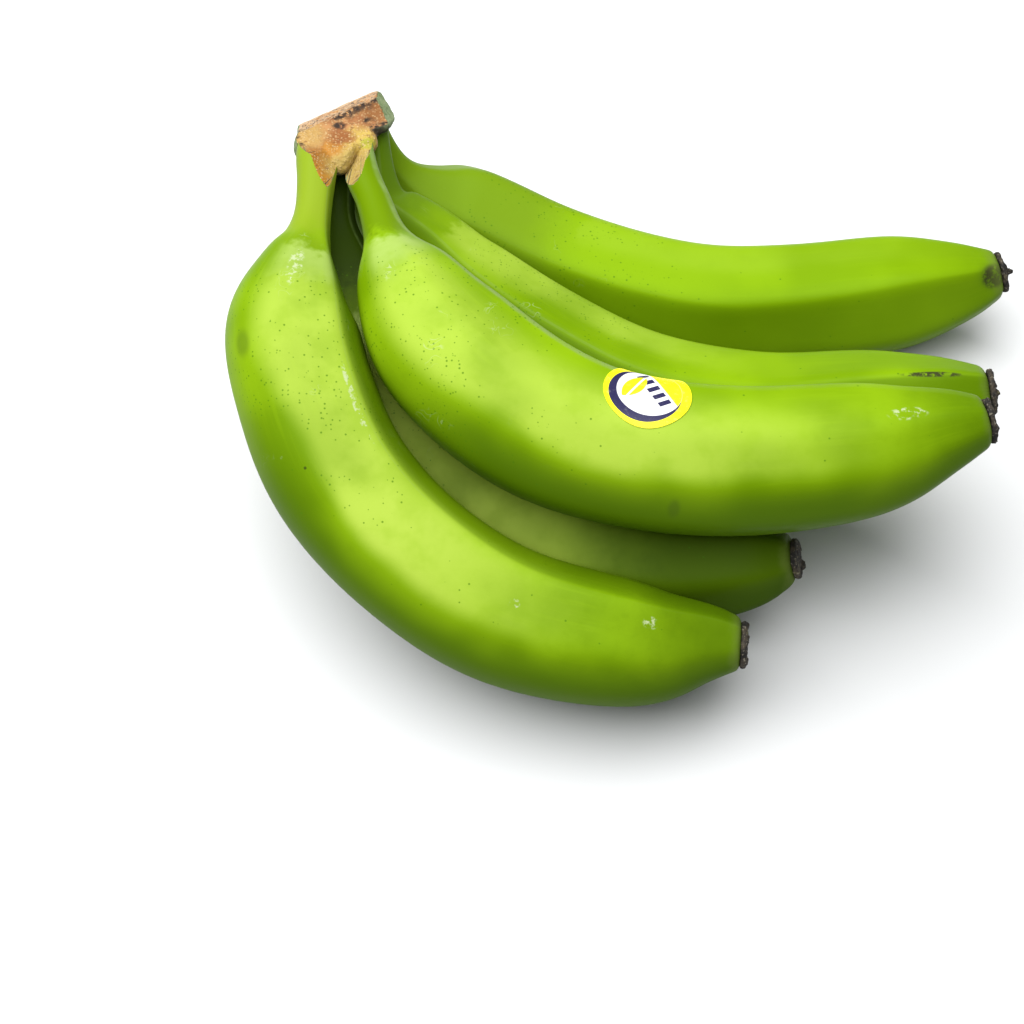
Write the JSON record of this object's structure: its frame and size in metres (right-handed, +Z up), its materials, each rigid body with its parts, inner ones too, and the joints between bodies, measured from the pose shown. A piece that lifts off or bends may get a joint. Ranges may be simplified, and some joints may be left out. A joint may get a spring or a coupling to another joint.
{
  "type": "plantain hand",
  "caption": "Hand of curved green plantain fingers grown together at a cut crown, with dark dried blossom ends and a plain oval fruit label.",
  "frame": {"origin": "centre of the bounding box's footprint, on the surface that the hand rests on", "axes": "+X along the hand from the side of the crown towards the blossom ends, +Y towards the finger furthest from the label, +Z up from the resting surface"},
  "size_m": [0.2827, 0.2347, 0.1045],
  "materials": {
    "peel": "waxy, semi-gloss green peel",
    "cut_crown": "dry, fibrous cut face",
    "dried_flower": "rough, dried, nearly black",
    "label_paper": "smooth coated paper"
  },
  "bodies": {
    "root": {"crown": "cut_crown", "finger_1": "peel", "finger_2": "peel", "finger_3": "peel", "finger_4": "peel", "finger_5": "peel", "blossom_end_1": "dried_flower", "blossom_end_2": "dried_flower", "blossom_end_3": "dried_flower", "blossom_end_4": "dried_flower", "blossom_end_5": "dried_flower", "label": "label_paper"}
  },
  "joints": []
}
